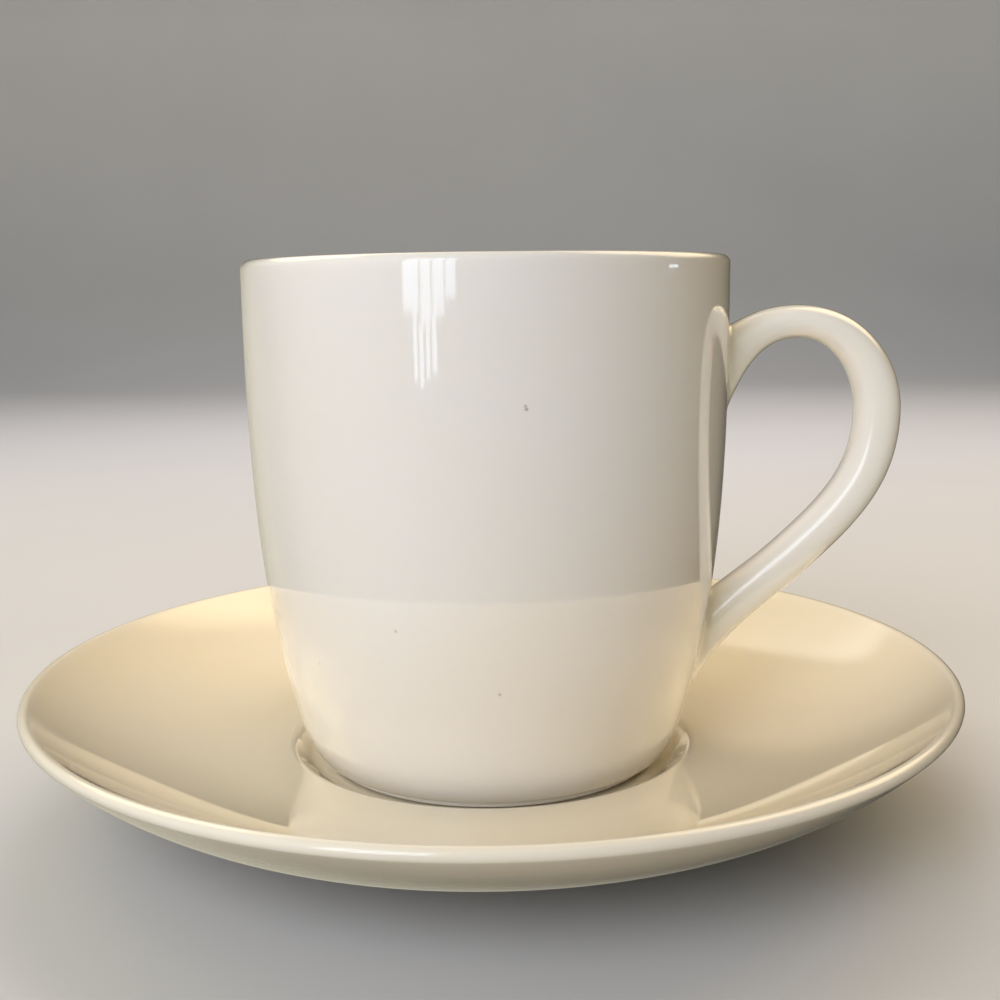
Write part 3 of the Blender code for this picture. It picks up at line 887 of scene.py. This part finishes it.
def floor_material(studio):
    """Matte pale paper, graded from front to back, with a barely visible mottle."""
    wiring = Wiring(bpy.data.materials.new("pale_floor"))
    place = wiring.node("ShaderNodeTexCoord", 3)
    depth = wiring.node("ShaderNodeSeparateXYZ", 1, Vector=place)
    rise = wiring.node("ShaderNodeSeparateXYZ", 2, Vector=place)
    paper = wiring.mix(wiring.ramp(depth, -0.15, 0.45, 0.0, 1.0), studio.floor, studio.floor_far)
    paper = wiring.mix(wiring.ramp(rise, 0.0, 0.4, 0.0, 1.0), paper, studio.backdrop)
    mottle = wiring.ramp(wiring.noise(place, 9.0, 4.0), 0.3, 0.7, 0.0, 0.03)
    wiring.put(wiring.shader.inputs["Base Color"], wiring.mix(mottle, paper, (0.0, 0.0, 0.0)))
    wiring.shader.inputs["Roughness"].default_value = 0.75
    return wiring.owner


def add_floor(studio):
    """Floor and backdrop in one sweep: a flat run, a quarter round and an upright, carried sideways."""
    near, far, bow, top, half_width = -2.0, 0.9, 0.5, 2.2, 3.0
    profile = joined(
        line((near, 0.0), (far, 0.0), points=12),
        arc((far, bow), bow, -90, 0, points=24),
        line((far + bow, bow), (far + bow, top), points=8),
    )
    across = np.linspace(-half_width, half_width, 13)
    turn = studio.handle_turn
    depth = np.broadcast_to(profile[:, None, 0], (len(profile), len(across)))
    side = np.broadcast_to(across[None, :], depth.shape)
    height = np.broadcast_to(profile[:, None, 1], depth.shape)
    x = side * math.cos(turn) - depth * math.sin(turn)
    y = side * math.sin(turn) + depth * math.cos(turn)
    points = np.stack([x, y, height], axis=-1).reshape(-1, 3)
    grid = np.arange(len(points)).reshape(depth.shape)
    corners = [grid[:-1, :-1], grid[:-1, 1:], grid[1:, 1:], grid[1:, :-1]]
    quads = np.stack(corners, axis=-1).reshape(-1, 4)
    obj = add_piece("studio_floor", points, quads, np.zeros((0, 3), int), {})
    obj.data.materials.append(floor_material(studio))
    # The floor lights the china but is not mirrored in it, as if dark cards stood round the set
    obj.visible_glossy = False


def add_camera(studio):
    """Camera at the place and turn found for the photograph, with no shift."""
    camera = bpy.data.cameras.new("camera")
    camera.sensor_width = SENSOR
    camera.lens = SENSOR * studio.lens_share
    camera.clip_start = 0.01
    pitch, yaw, roll = studio.camera_pitch, studio.camera_yaw, studio.camera_roll
    ahead = math.cos(pitch)
    forward = Vector((math.sin(yaw) * ahead, math.cos(yaw) * ahead, -math.sin(pitch)))
    level = Vector((math.cos(yaw), -math.sin(yaw), 0.0))
    upright = level.cross(forward)
    right = math.cos(roll) * level + math.sin(roll) * upright
    up = -math.sin(roll) * level + math.cos(roll) * upright
    place = Vector((0.0, -studio.camera_distance, studio.camera_height))
    pose = Matrix((right, up, -forward)).transposed().to_4x4()
    pose.translation = place
    obj = bpy.data.objects.new("camera", camera)
    obj.matrix_world = Matrix.Rotation(studio.handle_turn, 4, "Z") @ pose
    bpy.context.scene.collection.objects.link(obj)
    bpy.context.scene.camera = obj


class CHINA_OT_stage(Operator):
    """Set the floor, the soft lights and the camera."""

    bl_idname = "china.stage"
    bl_label = "Stage"

    def execute(self, context):
        studio = context.scene.china_studio
        add_floor(studio)
        add_window(studio)
        add_soft_boxes(studio)
        add_handle_fill(studio)
        add_rim_spark(studio)
        add_surroundings(studio)
        context.scene.view_settings.view_transform = "Standard"
        add_camera(studio)
        return {"FINISHED"}


class CHINA_PT_sidebar(Panel):
    """Lists the pieces of the tea set and their sizes."""

    bl_idname = "CHINA_PT_sidebar"
    bl_label = "Teacup and saucer"
    bl_space_type = "VIEW_3D"
    bl_region_type = "UI"
    bl_category = "China"

    def draw(self, context):
        layout = self.layout
        for operator, label in MAKERS:
            layout.operator(operator, text=label)
        for key, label in GROUPS:
            column = layout.column(align=True)
            column.label(text=label)
            group = getattr(context.scene, key)
            for name in group.__annotations__:
                column.prop(group, name)


MAKERS = (
    ("china.saucer", "Saucer"),
    ("china.cup_body", "Cup body"),
    ("china.cup_handle", "Cup handle"),
    ("china.stage", "Stage"),
)
GROUPS = (
    ("china_cup", "Cup body"),
    ("china_handle", "Cup handle"),
    ("china_saucer", "Saucer"),
    ("china_finish", "Finish"),
    ("china_studio", "Studio"),
)
CLASSES = (
    CupSizes,
    HandleSizes,
    SaucerSizes,
    ChinaFinish,
    StudioSettings,
    CHINA_OT_cup_body,
    CHINA_OT_cup_handle,
    CHINA_OT_saucer,
    CHINA_OT_stage,
    CHINA_PT_sidebar,
)


def register():
    for cls in CLASSES:
        bpy.utils.register_class(cls)
    for (key, _), group in zip(GROUPS, CLASSES):
        setattr(bpy.types.Scene, key, PointerProperty(type=group))


def unregister():
    for key, _ in GROUPS:
        delattr(bpy.types.Scene, key)
    for cls in reversed(CLASSES):
        bpy.utils.unregister_class(cls)


def main():
    register()
    bpy.ops.china.saucer()
    bpy.ops.china.cup_body()
    bpy.ops.china.cup_handle()
    bpy.ops.china.stage()


if __name__ == "__main__":
    main()
